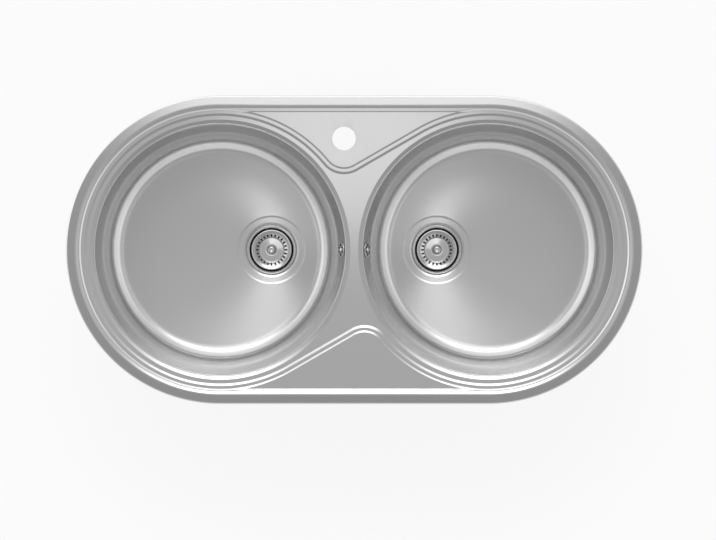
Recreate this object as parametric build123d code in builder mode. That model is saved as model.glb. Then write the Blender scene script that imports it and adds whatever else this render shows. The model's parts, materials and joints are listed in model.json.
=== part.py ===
from build123d import *
import os
from math import cos, radians, sin, sqrt

os.makedirs("parts", exist_ok=True)

# Inset kitchen sink with two round bowls. Millimetres, +Z up, +X to the right, +Y to the back.
# The origin is the middle of the sink in plan, in the plane of the worktop that the rim rests on.

# ---- driving dimensions: overall ----
overall_width = 460.0  # front to back; the rim's ends are half circles of this diameter
deck_margin = 41.5  # rim edge to the weld round a bowl
divider_width = 23.0  # between the two welds
bowl_depth = 160.0  # crown of the rim to the edge of the bowl's floor
sheet = 0.8  # stainless sheet of the deck and the bowls

# ---- deck: heights of its top above the worktop ----
edge_height = 1.4
bevel_height = 2.6
crown_height = 5.0
ledge_height = 3.4
plateau_height = 2.8
border_height = 1.9
land_height = 0.8
lip_height = -0.7
form_depth = 20.0  # how far the solid below the deck's surface goes down, past the clip rails

# ---- deck: places of its steps, inwards from the rim edge ----
edge_bevel = 1.6
crown_inset = 13.0
rim_step_inset = 16.7
plateau_inset = 24.0
rim_step_run = 4.0
plateau_step_run = 1.6

# ---- deck: places of its steps, outwards from the bowl's weld ----
lip_run = 4.2
lip_inset = 1.3
land_width = 13.0
border_width = 7.5
land_step_run = 3.5
border_step_run = 2.5
nose_radius = 38.0  # round tip of the tap deck and of the front panel, at the land
border_angle = 30.0  # straight side of the tap deck, from the X axis
tap_hole_radius = 17.5
tap_hole_shift = 13.5  # behind the centre of the tap deck's round tip

# ---- bowl ----
mouth_round = 2.0
mouth_ledge = 1.5
upper_wall_drop = 29.3
upper_wall_run = 11.0
crease_round = 14.0
lower_wall_run = 14.0
floor_round = 24.0
floor_fall = 3.0  # from the floor's edge to the waste recess
drain_offset = 76.0  # bowl centre to waste centre, towards the middle of the sink
recess_radius = 52.0
recess_depth = 2.5
recess_run = 6.0
drain_hole_radius = 33.6
pad_length = 110.0
pad_width = 120.0
pad_thickness = 2.0
pad_clear = 12.0  # waste recess to the damping pad

# ---- waste: strainer cup and gaskets; heights from the seat in the bowl's recess ----
cup_sheet = 0.8
cup_flange_radius = 37.3
cup_flange_height = 2.2
cup_mouth_radius = 33.3
cup_mouth_round = 1.0
cup_throat_radius = 30.6
cup_throat_depth = 6.0
cup_wall_radius = 28.2
cup_wall_taper = 0.4
cup_shelf_depth = 16.6
sump_radius = 20.5
sump_taper = 0.5
cup_depth = 30.0
cup_round = 2.0
outlet_hole_radius = 4.0
outlet_hole_circle = 13.0
outlet_hole_count = 6
flange_gasket_inner = 34.0
flange_gasket_outer = 36.8
body_gasket_inner = 33.8
body_gasket_outer = 40.0
body_gasket_thickness = 2.5

# ---- waste: body and its clamp screw ----
body_flange_radius = 41.0
body_flange_thickness = 4.0
body_radius = 38.0
body_wall = 2.5
body_straight = 28.0
body_funnel = 12.0
hub_radius = 7.0
hub_length = 20.0
rib_thickness = 3.0
rib_height = 6.0
rib_bars = 2  # each crosses the outlet and makes two ribs
outlet_radius = 23.9  # outside of the 1 1/2 inch pipe thread
outlet_wall = 3.4
outlet_length = 28.0
collar_radius = 26.5
collar_height = 4.0
screw_radius = 3.0
screw_length = 18.0
screw_head_radius = 5.5
screw_head_height = 3.0
slot_width = 1.4
slot_depth = 1.3
running_gap = 0.05
seat_gap = 0.3

# ---- strainer basket ----
basket_sheet = 0.7
basket_rim_gap = 1.0  # rim of the basket to the cup's throat
basket_rim_height = 2.4
basket_rim_width = 1.7
basket_rim_round = 1.3
basket_wall_run = 3.5
basket_wall_drop = 5.4
basket_band_run = 6.4
basket_band_drop = 2.6
slot_ring_outer = 23.1
slot_ring_inner = 18.6
strainer_slots = 24
strainer_slot_width = 1.8
dome_run = 7.0
dome_rise = 1.4
dome_round = 8.0
knob_radius = 6.3
knob_rise = 8.4
knob_foot_radius = 4.0
stem_radius = 3.0
plug_radius = 23.0
plug_thickness = 3.7
plug_hub_radius = 6.5
plug_recess_radius = 7.5
plug_recess_depth = 2.2
stem_end_radius = 6.3
stem_end_height = 1.5

# ---- overflow ----
overflow_drop = 16.3  # weld to the middle of the overflow, downwards
overflow_hole_radius = 9.8
rosette_radius = 12.5
rosette_thickness = 1.0
rosette_holes = 6
rosette_hole_radius = 2.0
rosette_hole_circle = 7.0
rosette_stand_off = 0.45  # a flat disc on a round wall touches at its two sides
overflow_screw_radius = 2.0
overflow_screw_head = 3.6
overflow_screw_head_height = 1.6
overflow_screw_reach = 8.0
overflow_gasket_thickness = 2.0
head_radius = 14.0
head_depth = 10.2
head_wall = 2.0
head_boss_radius = 4.0
head_boss_recess = 1.0
pipe_distance = 12.0  # middle plane to the axis of an overflow pipe
spigot_radius = 8.5
spigot_wall = 1.5
spigot_top = -24.0
spigot_bottom = -48.0
pipe_radius = 10.0
pipe_top = -36.0
pipe_bend = 30.0
inlet_depth = 20.0  # below the seat of the waste, to the middle of the overflow inlet
inlet_radius = 13.0
inlet_reach = 62.0
inlet_stop = 48.0
inlet_bore_radius = 8.0
inlet_fit = 0.1
pipe_nut_radius = 17.0
pipe_nut_length = 16.0
pipe_nut_overlap = 10.0
pipe_nut_ribs = 12
pipe_nut_rib_depth = 1.2

# ---- rim seal and fixing clips; places inwards from the rim edge ----
cutout_inset = 9.0  # seal's inner edge, just outside the worktop's cut-out
seal_inset = 2.0
rail_inset = 22.0
rail_thickness = 1.2
rail_length = 40.0
rail_bottom = -9.4
rail_reach = 5.0
rail_lip_top = -6.0
strap_thickness = 1.5
strap_width = 16.0
strap_gap = 0.5
strap_round = 2.0
hook_depth = 2.6
foot_bottom = -56.25
foot_inset = 1.25
clamp_inset = 6.0
clamp_collar_radius = 5.0
clamp_collar_height = 3.0
clamp_rise = 8.0  # how far the clamp pad goes above its place on a 38 mm worktop
worktop_thickness = 38.0
clamp_pad_radius = 5.0
clamp_pad_height = 3.5
clamp_pad_bore = 2.4
clamp_tip_radius = 2.0
clamp_screw_radius = 3.0
clamp_head_radius = 5.5
clamp_head_height = 5.0
clip_spacing = 110.0

# ---- derived places ----
edge_radius = overall_width / 2
weld_radius = edge_radius - deck_margin
bowl_pitch = 2 * weld_radius + divider_width
bowl_x = bowl_pitch / 2
land_radius = weld_radius + land_width
floor_edge_z = crown_height - bowl_depth
recess_z = floor_edge_z - floor_fall
seat_z = recess_z - recess_depth
drain_x = bowl_x - drain_offset
mouth = (weld_radius - mouth_ledge, lip_height)
crease = (mouth[0] - upper_wall_run, lip_height - upper_wall_drop)
toe = (crease[0] - lower_wall_run, floor_edge_z)
waste_place = Location((-drain_x, 0, seat_z))

left_centre = Vector(-bowl_x, 0)
right_centre = Vector(bowl_x, 0)
side_direction = Vector(cos(radians(border_angle)), sin(radians(border_angle)))
side_normal = Vector(-side_direction.Y, side_direction.X)


def find_nose():
    """Centre of the tap deck's round tip: it touches the left bowl's land and the straight side."""
    reach = land_radius + nose_radius
    start = right_centre + side_normal * reach
    across = start - left_centre
    along = across.dot(side_direction)
    step = sqrt(along**2 - across.dot(across) + reach**2) - along
    return start + side_direction * step


nose = find_nose()


def finish(builder, name):
    """Names a finished piece and writes it."""
    builder.part.label = name
    export_step(builder.part, f"parts/{name}.step")


def finish_pair(builder, name, place=Location()):
    """Writes a piece of the left side, moved to its place, and its mirror image for the right side."""
    with BuildPart() as left:
        add(builder.part.moved(place))
    finish(left, f"left_{name}")
    with BuildPart() as right:
        mirror(left.part, about=Plane.YZ)
    finish(right, f"right_{name}")


def rim_outline(spread, height):
    """The outline of the rim, grown by spread, at a height."""
    with BuildSketch(Plane.XY.offset(height)) as outline:
        SlotCenterToCenter(bowl_pitch, 2 * (edge_radius + spread))
    return outline.sketch


def land_outline(spread, height):
    """The outline of the low land round both bowls, grown by spread: two discs with two round-tipped
    panels reaching in between them, the front one a half turn of the back one."""
    disc = land_radius + spread
    tip = nose_radius - spread
    side_top = right_centre + side_normal * disc
    tip_right = nose - side_normal * tip
    tip_left = left_centre + (nose - left_centre).normalized() * disc
    with BuildSketch(Plane.XY.offset(height)) as outline:
        with BuildLine():
            for turn in (1, -1):
                Line(side_top * turn, tip_right * turn)
                ThreePointArc(tip_right * turn, (nose - Vector(0, tip)) * turn, tip_left * turn)
                ThreePointArc(tip_left * turn, Vector(-bowl_x - disc, 0) * turn, side_top * -turn)
        make_face()
    return outline.sketch


def step_form(outline, spread, run, low, high):
    """A tapered block between two heights, run wider at its top than at its bottom."""
    with BuildPart() as step:
        add(outline(spread - run / 2, low))
        add(outline(spread + run / 2, high))
        loft(ruled=True)
    return step.part


def deck_form(drop, inset):
    """The solid under the deck's top surface, lowered by drop and with its edge drawn in by inset."""
    steps = (
        (rim_outline, -rim_step_inset, rim_step_run, ledge_height, crown_height),
        (rim_outline, -plateau_inset, plateau_step_run, plateau_height, ledge_height),
        (land_outline, border_width, border_step_run, border_height, ledge_height),
        (land_outline, 0, land_step_run, land_height, border_height),
    )
    with BuildPart() as form:
        add(rim_outline(-inset, -form_depth - drop))
        extrude(amount=edge_height + form_depth)
        add(rim_outline(-inset, edge_height - drop))
        add(rim_outline(-edge_bevel - inset, bevel_height - drop))
        loft(ruled=True)
        add(rim_outline(-edge_bevel - inset, bevel_height - drop))
        add(rim_outline(-crown_inset, crown_height - drop))
        loft(ruled=True)
        for outline, spread, run, low, high in steps:
            add(step_form(outline, spread, run, low - drop, high - drop), mode=Mode.SUBTRACT)
        with Locations((-bowl_x, 0, lip_height - drop), (bowl_x, 0, lip_height - drop)):
            Cone(
                weld_radius + lip_inset,
                weld_radius + lip_inset + lip_run,
                land_height - lip_height,
                align=(Align.CENTER, Align.CENTER, Align.MIN),
                mode=Mode.SUBTRACT,
            )
    return form.part


def space_outline(corners, rounds, growth=0):
    """The outline of a hollow seen from the side, with some corners rounded, grown by growth."""
    with BuildSketch() as outline:
        with BuildLine():
            Polyline(*corners, close=True)
        make_face()
        for corner, size in rounds:
            fillet(outline.vertices().sort_by_distance(corner)[0], size)
        if growth:
            offset(amount=growth, kind=Kind.INTERSECTION)
    return outline.sketch


def spun_sheet(corners, rounds, thickness, radius, top):
    """A round pressing: the sheet of a thickness below a hollow, out to a radius and up to a top."""
    with BuildPart() as pressing:
        with BuildSketch(Plane.XZ):
            add(space_outline(corners, rounds, thickness))
            with Locations((0, top)):
                Rectangle(radius, bowl_depth, align=(Align.MIN, Align.MAX), mode=Mode.INTERSECT)
            add(space_outline(corners, rounds), mode=Mode.SUBTRACT)
        revolve(axis=Axis.Z)
    return pressing.part


def bowl_form(growth, drop):
    """The hollow of the left bowl, its wall grown by growth and its floor lowered by drop."""
    corners = (
        (0, -lip_height),
        (edge_radius, -lip_height),
        (edge_radius, lip_height),
        mouth,
        crease,
        toe,
        (0, floor_edge_z),
    )
    rounds = ((mouth, mouth_round), (crease, crease_round), (toe, floor_round))
    with BuildPart() as hollow:
        with BuildSketch(Plane.XZ):
            add(space_outline(corners, rounds, growth))
            if growth:
                with Locations((0, lip_height)):
                    Rectangle(weld_radius, 2 * bowl_depth, align=(Align.MIN, Align.MAX), mode=Mode.INTERSECT)
            else:
                half_plane = (Align.MIN, Align.CENTER)
                Rectangle(2 * bowl_depth, 4 * bowl_depth, align=half_plane, mode=Mode.INTERSECT)
        revolve(axis=Axis.Z)
        with BuildSketch(Plane.XY.offset(floor_edge_z - drop)):
            Circle(toe[0] - floor_round)
        with BuildSketch(Plane.XY.offset(recess_z - drop)):
            with Locations((drain_offset, 0)):
                Circle(recess_radius)
        loft(ruled=True)
        with Locations((drain_offset, 0, seat_z - drop)):
            Cone(
                recess_radius - recess_run,
                recess_radius,
                recess_depth,
                align=(Align.CENTER, Align.CENTER, Align.MIN),
            )
    return hollow.part.moved(Location((-bowl_x, 0, 0)))


deck_under = deck_form(sheet, sheet)
bowl_inside = bowl_form(0, 0)
bowl_outside = bowl_form(sheet, sheet)

wall_lean = Vector(upper_wall_drop, 0, -upper_wall_run).normalized()
overflow_x = -bowl_x + mouth[0] - overflow_drop * upper_wall_run / upper_wall_drop
overflow_plane = Plane((overflow_x, 0, lip_height - overflow_drop), x_dir=(0, 1, 0), z_dir=wall_lean)

# ---- deck: one pressed panel with a turned-down rim, two stepped panels, a tap hole and two bowl holes
with BuildPart() as deck_panel:
    add(deck_form(0, 0))
    add(deck_under, mode=Mode.SUBTRACT)
    with BuildSketch():
        SlotCenterToCenter(bowl_pitch, 2 * edge_radius + deck_margin)
        SlotCenterToCenter(bowl_pitch, 2 * (edge_radius - crown_inset), mode=Mode.SUBTRACT)
    extrude(amount=-2 * form_depth, mode=Mode.SUBTRACT)
    with Locations((-bowl_x, 0), (bowl_x, 0)):
        Cylinder(weld_radius, 4 * form_depth, mode=Mode.SUBTRACT)
    with Locations((nose.X, nose.Y + tap_hole_shift)):
        Cylinder(tap_hole_radius, 4 * crown_height, mode=Mode.SUBTRACT)
finish(deck_panel, "deck_panel")

# ---- rim seal: fills the space between the rim and the worktop
with BuildPart() as rim_seal:
    with BuildSketch():
        SlotCenterToCenter(bowl_pitch, 2 * (edge_radius - seal_inset))
        SlotCenterToCenter(bowl_pitch, 2 * (edge_radius - cutout_inset), mode=Mode.SUBTRACT)
    extrude(amount=crown_height)
    add(deck_under, mode=Mode.INTERSECT)
finish(rim_seal, "rim_seal")

# ---- bowls, each with its waste hole and its overflow hole
with BuildPart() as bowl:
    add(bowl_outside)
    add(bowl_inside, mode=Mode.SUBTRACT)
    with Locations((-drain_x, 0, seat_z)):
        Cylinder(drain_hole_radius, 4 * sheet, mode=Mode.SUBTRACT)
    with BuildSketch(overflow_plane.offset(-head_depth)):
        Circle(overflow_hole_radius)
    extrude(amount=2 * head_depth, mode=Mode.SUBTRACT)
finish_pair(bowl, "bowl")

# ---- damping pads under the bowl floors
with BuildPart() as damping_pad:
    with Locations((-drain_x - recess_radius - pad_clear, 0, seat_z)):
        Box(pad_length, pad_width, pad_thickness * 12, align=(Align.MAX, Align.CENTER, Align.CENTER))
    fillet(damping_pad.edges().filter_by(Axis.Z), pad_thickness * 6)
    add(bowl_form(sheet, sheet + pad_thickness), mode=Mode.INTERSECT)
    add(bowl_outside, mode=Mode.SUBTRACT)
finish_pair(damping_pad, "damping_pad")

# ---- strainer cup: flange, throat, ledge for the basket, shelf for the plug, sump with outlet holes
cup_top = cup_flange_height
ledge_z = cup_top - cup_throat_depth
shelf_z = cup_top - cup_shelf_depth
cup_floor_z = cup_top - cup_depth
cup_corners = (
    (0, 2 * cup_top),
    (2 * cup_flange_radius, 2 * cup_top),
    (2 * cup_flange_radius, cup_top),
    (cup_mouth_radius, cup_top),
    (cup_throat_radius, ledge_z),
    (cup_wall_radius, ledge_z),
    (cup_wall_radius - cup_wall_taper, shelf_z),
    (sump_radius, shelf_z),
    (sump_radius - sump_taper, cup_floor_z),
    (0, cup_floor_z),
)
cup_rounds = (
    (cup_corners[3], cup_mouth_round),
    (cup_corners[5], cup_mouth_round),
    (cup_corners[6], cup_round),
    (cup_corners[7], cup_mouth_round),
    (cup_corners[8], cup_round),
)
with BuildPart() as strainer_cup:
    add(spun_sheet(cup_corners, cup_rounds, cup_sheet, cup_flange_radius, cup_top))
    with Locations((0, 0, cup_floor_z)):
        Cylinder(screw_radius + running_gap, 4 * cup_sheet, mode=Mode.SUBTRACT)
        with PolarLocations(outlet_hole_circle, outlet_hole_count):
            Cylinder(outlet_hole_radius, 4 * cup_sheet, mode=Mode.SUBTRACT)
finish_pair(strainer_cup, "strainer_cup", waste_place)

# ---- gaskets above and below the bowl's floor
with BuildPart() as flange_gasket:
    with BuildSketch():
        Circle(flange_gasket_outer)
        Circle(flange_gasket_inner, mode=Mode.SUBTRACT)
    extrude(amount=cup_flange_height - cup_sheet)
finish_pair(flange_gasket, "flange_gasket", waste_place)

with BuildPart() as body_gasket:
    with BuildSketch(Plane.XY.offset(-sheet)):
        Circle(body_gasket_outer)
        Circle(body_gasket_inner, mode=Mode.SUBTRACT)
    extrude(amount=-body_gasket_thickness)
finish_pair(body_gasket, "body_gasket", waste_place)

# ---- waste body: flange, side inlet for the overflow, hub for the clamp screw, threaded outlet
body_top = -sheet - body_gasket_thickness
funnel_top = body_top - body_straight
funnel_bottom = funnel_top - body_funnel
outlet_bottom = funnel_bottom - outlet_length
outlet_bore = outlet_radius - outlet_wall
hub_top = cup_floor_z - cup_sheet - seat_gap
with BuildPart() as waste_body:
    with BuildSketch(Plane.XZ):
        with BuildLine():
            Polyline(
                (0, body_top),
                (body_flange_radius, body_top),
                (body_flange_radius, body_top - body_flange_thickness),
                (body_radius, body_top - body_flange_thickness),
                (body_radius, funnel_top),
                (collar_radius, funnel_bottom),
                (collar_radius, funnel_bottom - collar_height),
                (outlet_radius, funnel_bottom - collar_height),
                (outlet_radius, outlet_bottom),
                (0, outlet_bottom),
                close=True,
            )
        make_face()
    revolve(axis=Axis.Z)
    with Locations(Location((0, 0, -inlet_depth), (0, 90, 0))):
        Cylinder(inlet_radius, inlet_reach, align=(Align.CENTER, Align.CENTER, Align.MIN))
    with BuildSketch(Plane.XZ):
        with BuildLine():
            Polyline(
                (0, cup_top),
                (body_radius - body_wall, cup_top),
                (body_radius - body_wall, funnel_top),
                (outlet_bore, funnel_bottom),
                (outlet_bore, outlet_bottom - body_wall),
                (0, outlet_bottom - body_wall),
                close=True,
            )
        make_face()
    revolve(axis=Axis.Z, mode=Mode.SUBTRACT)
    with Locations(Location((0, 0, -inlet_depth), (0, 90, 0))):
        Cylinder(
            inlet_bore_radius,
            inlet_reach,
            align=(Align.CENTER, Align.CENTER, Align.MIN),
            mode=Mode.SUBTRACT,
        )
    with Locations(Location((inlet_stop, 0, -inlet_depth), (0, 90, 0))):
        Cylinder(
            pipe_radius + inlet_fit,
            inlet_reach,
            align=(Align.CENTER, Align.CENTER, Align.MIN),
            mode=Mode.SUBTRACT,
        )
    with Locations((0, 0, hub_top)):
        Cylinder(hub_radius, hub_length, align=(Align.CENTER, Align.CENTER, Align.MAX))
    with Locations((0, 0, hub_top - hub_length)):
        with PolarLocations(0, rib_bars, angular_range=180):
            Box(
                2 * outlet_bore + outlet_wall,
                rib_thickness,
                rib_height,
                align=(Align.CENTER, Align.CENTER, Align.MIN),
            )
    with Locations((0, 0, hub_top)):
        Cylinder(screw_radius + running_gap, 3 * hub_length, mode=Mode.SUBTRACT)
finish_pair(waste_body, "waste_body", waste_place)

# ---- clamp screw that pulls the cup and the waste body together
with BuildPart() as clamp_screw:
    with Locations((0, 0, cup_floor_z)):
        Cylinder(screw_head_radius, screw_head_height, align=(Align.CENTER, Align.CENTER, Align.MIN))
    chamfer(clamp_screw.faces().sort_by(Axis.Z)[-1].edges(), slot_width / 2)
    with Locations((0, 0, cup_floor_z)):
        Cylinder(screw_radius, screw_length, align=(Align.CENTER, Align.CENTER, Align.MAX))
    with Locations((0, 0, cup_floor_z + screw_head_height)):
        Box(3 * screw_head_radius, slot_width, 2 * slot_depth, mode=Mode.SUBTRACT)
finish_pair(clamp_screw, "clamp_screw", waste_place)

# ---- strainer basket with its knob and its rubber plug
rim_radius = cup_throat_radius - basket_rim_gap
rim_z = ledge_z + seat_gap + basket_rim_height
wall_radius = rim_radius - basket_rim_width
band_radius = wall_radius - basket_wall_run
disc_radius = band_radius - basket_band_run
disc_z = rim_z - basket_wall_drop - basket_band_drop
centre_z = disc_z + dome_rise
basket_corners = (
    (0, cup_top),
    (2 * rim_radius, cup_top),
    (2 * rim_radius, rim_z),
    (wall_radius, rim_z),
    (band_radius, rim_z - basket_wall_drop),
    (disc_radius, disc_z),
    (disc_radius - dome_run, centre_z),
    (0, centre_z),
)
basket_rounds = (
    (basket_corners[3], basket_rim_round),
    (basket_corners[4], basket_rim_round),
    (basket_corners[5], basket_rim_round),
    (basket_corners[6], dome_round),
)
with BuildPart() as basket:
    add(spun_sheet(basket_corners, basket_rounds, basket_sheet, rim_radius, rim_z))
    with BuildSketch(Plane.XY.offset(rim_z)):
        Circle(rim_radius)
        Circle(rim_radius - basket_sheet, mode=Mode.SUBTRACT)
    extrude(amount=-basket_rim_height)
    rim_edges = basket.edges().filter_by(GeomType.CIRCLE).group_by(Axis.Z)[-1]
    fillet(rim_edges.sort_by(SortBy.RADIUS)[-1], basket_sheet)
    with BuildSketch(Plane.XY.offset(rim_z)):
        with PolarLocations((slot_ring_outer + slot_ring_inner) / 2, strainer_slots):
            SlotOverall(slot_ring_outer - slot_ring_inner, strainer_slot_width)
        Circle(stem_radius + running_gap)
    extrude(amount=-cup_depth, mode=Mode.SUBTRACT)
finish_pair(basket, "basket", waste_place)

plug_hub_top = centre_z - basket_sheet
plug_bottom = shelf_z + seat_gap
plug_top = plug_bottom + plug_thickness
recess_top = plug_bottom + plug_recess_depth
with BuildPart() as basket_knob:
    with BuildSketch(Plane.XZ) as knob_profile:
        with BuildLine():
            Polyline(
                (0, centre_z + knob_rise),
                (knob_radius, centre_z + knob_rise),
                (knob_radius, centre_z + knob_rise * 0.55),
                (knob_foot_radius, centre_z + knob_rise * 0.3),
                (knob_foot_radius, centre_z),
                (stem_radius, centre_z),
                (stem_radius, recess_top),
                (stem_end_radius, recess_top),
                (stem_end_radius, recess_top - stem_end_height),
                (0, recess_top - stem_end_height),
                close=True,
            )
        make_face()
        fillet(
            knob_profile.vertices().sort_by_distance((knob_radius, centre_z + knob_rise))[0],
            knob_radius / 3,
        )
    revolve(axis=Axis.Z)
finish_pair(basket_knob, "basket_knob", waste_place)

with BuildPart() as basket_plug:
    with Locations((0, 0, plug_bottom)):
        Cylinder(plug_radius, plug_thickness, align=(Align.CENTER, Align.CENTER, Align.MIN))
    chamfer(basket_plug.edges().group_by(Axis.Z)[-1], plug_thickness / 3)
    with Locations((0, 0, plug_top)):
        Cylinder(
            plug_hub_radius, plug_hub_top - plug_top, align=(Align.CENTER, Align.CENTER, Align.MIN)
        )
    with Locations((0, 0, plug_bottom)):
        Cylinder(plug_recess_radius, 2 * plug_recess_depth, mode=Mode.SUBTRACT)
        Cylinder(stem_radius + running_gap, cup_depth, mode=Mode.SUBTRACT)
finish_pair(basket_plug, "basket_plug", waste_place)

# ---- overflow: perforated rosette and its screw in the bowl, gasket and head behind the wall
rosette_face = -rosette_stand_off - rosette_thickness
with BuildPart() as overflow_rosette:
    with BuildSketch(overflow_plane.offset(-rosette_stand_off)):
        Circle(rosette_radius)
        Circle(overflow_screw_radius + running_gap, mode=Mode.SUBTRACT)
        with PolarLocations(rosette_hole_circle, rosette_holes):
            Circle(rosette_hole_radius, mode=Mode.SUBTRACT)
    extrude(amount=-rosette_thickness)
finish_pair(overflow_rosette, "overflow_rosette")

with BuildPart() as overflow_screw:
    with BuildSketch(overflow_plane.offset(rosette_face)):
        Circle(overflow_screw_head)
    extrude(amount=-overflow_screw_head_height, taper=20)
    with BuildSketch(overflow_plane.offset(rosette_face)):
        Circle(overflow_screw_radius)
    extrude(amount=-rosette_face + sheet + overflow_gasket_thickness + overflow_screw_reach)
    with BuildSketch(overflow_plane.offset(rosette_face - overflow_screw_head_height)):
        Rectangle(slot_width * 0.7, 3 * overflow_screw_head)
    extrude(amount=overflow_screw_head_height / 2, mode=Mode.SUBTRACT)
finish_pair(overflow_screw, "overflow_screw")

with BuildPart() as overflow_gasket:
    with BuildSketch(overflow_plane):
        Circle(head_radius)
        Circle(overflow_hole_radius, mode=Mode.SUBTRACT)
    extrude(amount=sheet + overflow_gasket_thickness)
    add(bowl_outside, mode=Mode.SUBTRACT)
finish_pair(overflow_gasket, "overflow_gasket")

head_plane = overflow_plane.offset(sheet + overflow_gasket_thickness)
with BuildPart() as overflow_head:
    with BuildSketch(head_plane):
        Circle(head_radius)
    extrude(amount=head_depth)
    with Locations((-pipe_distance, 0, spigot_top)):
        Cylinder(
            spigot_radius, spigot_top - spigot_bottom, align=(Align.CENTER, Align.CENTER, Align.MAX)
        )
    with BuildSketch(head_plane):
        Rectangle(6 * head_radius, 6 * head_radius)
    extrude(amount=-2 * head_depth, mode=Mode.SUBTRACT)
    with Locations((-pipe_distance, 0, spigot_top - head_wall)):
        Cylinder(
            spigot_radius - spigot_wall,
            spigot_top - spigot_bottom,
            align=(Align.CENTER, Align.CENTER, Align.MAX),
            mode=Mode.SUBTRACT,
        )
    with BuildSketch(head_plane):
        Circle(head_radius - head_wall)
    extrude(amount=head_depth - head_wall, mode=Mode.SUBTRACT)
    with BuildSketch(head_plane.offset(head_boss_recess)):
        Circle(head_boss_radius)
    extrude(amount=head_depth - head_boss_recess - head_wall / 2)
    with BuildSketch(head_plane):
        Circle(overflow_screw_radius + running_gap)
    extrude(amount=overflow_screw_reach + seat_gap, mode=Mode.SUBTRACT)
finish_pair(overflow_head, "overflow_head")

# ---- overflow pipe from the head down between the bowls and out to the waste body, and its nut
inlet_z = seat_z - inlet_depth
with BuildPart() as overflow_pipe:
    with BuildLine(Plane.XZ) as pipe_path:
        FilletPolyline(
            (-pipe_distance, pipe_top),
            (-pipe_distance, inlet_z),
            (-drain_x + inlet_stop + seat_gap, inlet_z),
            radius=pipe_bend,
        )
    with BuildSketch(Plane((-pipe_distance, 0, pipe_top), z_dir=(0, 0, -1))):
        Circle(pipe_radius)
        Circle(spigot_radius + running_gap, mode=Mode.SUBTRACT)
    sweep(path=pipe_path.wires()[0])
finish_pair(overflow_pipe, "overflow_pipe")

with BuildPart() as pipe_nut:
    with BuildSketch(Plane.YZ.offset(inlet_reach - pipe_nut_overlap)):
        Circle(pipe_nut_radius)
        with PolarLocations(pipe_nut_radius, pipe_nut_ribs):
            Circle(pipe_nut_rib_depth, mode=Mode.SUBTRACT)
    extrude(amount=pipe_nut_length)
    with BuildSketch(Plane.YZ.offset(inlet_reach - pipe_nut_overlap)):
        Circle(inlet_radius + running_gap)
    extrude(amount=pipe_nut_overlap + seat_gap, mode=Mode.SUBTRACT)
    with BuildSketch(Plane.YZ):
        Circle(pipe_radius + running_gap)
    extrude(amount=2 * inlet_reach, mode=Mode.SUBTRACT)
finish_pair(pipe_nut, "pipe_nut", waste_place * Location((0, 0, -inlet_depth)))

# ---- fixing clips: three along the back, three along the front, one at each end
clip_places = []
for facing in (1, -1):
    for number in (-1, 0, 1):
        spot = Plane((number * clip_spacing, 0, 0), x_dir=(0, facing, 0), z_dir=(0, 0, 1))
        clip_places.append(spot.location)
for facing in (1, -1):
    spot = Plane((facing * bowl_x, 0, 0), x_dir=(facing, 0, 0), z_dir=(0, 0, 1))
    clip_places.append(spot.location)

rail_x = edge_radius - rail_inset
lip_x = rail_x + rail_reach
strap_x = lip_x + strap_gap
clamp_x = edge_radius - clamp_inset
foot_x = edge_radius - foot_inset

with BuildPart() as rail:
    with BuildSketch(Plane.XZ):
        with Locations((rail_x, rail_bottom)):
            Rectangle(rail_thickness, crown_height - rail_bottom, align=Align.MIN)
            Rectangle(rail_reach, rail_thickness, align=Align.MIN)
        with Locations((lip_x, rail_bottom)):
            Rectangle(rail_thickness, rail_lip_top - rail_bottom, align=(Align.MAX, Align.MIN))
    extrude(amount=rail_length / 2, both=True)

with BuildPart() as clip_rails:
    with Locations(*clip_places):
        add(rail.part)
    add(deck_under, mode=Mode.INTERSECT)
finish(clip_rails, "clip_rails")

hook_top = rail_lip_top + strap_thickness
hook_x = lip_x - rail_thickness - strap_gap - strap_thickness
with BuildPart() as strap:
    with BuildSketch(Plane.XZ) as strap_profile:
        with Locations((strap_x, hook_top)):
            Rectangle(strap_thickness, hook_top - foot_bottom, align=(Align.MIN, Align.MAX))
        with Locations((hook_x, hook_top)):
            Rectangle(strap_x - hook_x, strap_thickness, align=(Align.MIN, Align.MAX))
            Rectangle(strap_thickness, hook_depth, align=(Align.MIN, Align.MAX))
        with Locations((strap_x, foot_bottom)):
            Rectangle(foot_x - strap_x, strap_thickness, align=Align.MIN)
        fillet(strap_profile.vertices().sort_by_distance((strap_x, foot_bottom))[0], strap_round)
    extrude(amount=strap_width / 2, both=True)
    with Locations((clamp_x, 0, foot_bottom)):
        Cylinder(
            clamp_collar_radius,
            strap_thickness + clamp_collar_height,
            align=(Align.CENTER, Align.CENTER, Align.MIN),
        )
        Cylinder(clamp_screw_radius + running_gap, 6 * strap_thickness, mode=Mode.SUBTRACT)

pad_bottom = -worktop_thickness - clamp_pad_height
with BuildPart() as pad:
    with Locations((clamp_x, 0, pad_bottom)):
        Cylinder(clamp_pad_radius, clamp_pad_height, align=(Align.CENTER, Align.CENTER, Align.MIN))
        Cylinder(clamp_tip_radius + running_gap, 2 * clamp_pad_bore, mode=Mode.SUBTRACT)

head_top = foot_bottom - clamp_rise - seat_gap
with BuildPart() as screw:
    with Locations((clamp_x, 0, head_top)):
        Cylinder(
            clamp_screw_radius,
            pad_bottom - seat_gap - head_top,
            align=(Align.CENTER, Align.CENTER, Align.MIN),
        )
        Cylinder(
            clamp_tip_radius,
            pad_bottom + clamp_pad_bore - seat_gap - head_top,
            align=(Align.CENTER, Align.CENTER, Align.MIN),
        )
    with BuildSketch(Plane.XY.offset(head_top)):
        with Locations((clamp_x, 0)):
            RegularPolygon(clamp_head_radius, 6)
    extrude(amount=-clamp_head_height)

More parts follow.
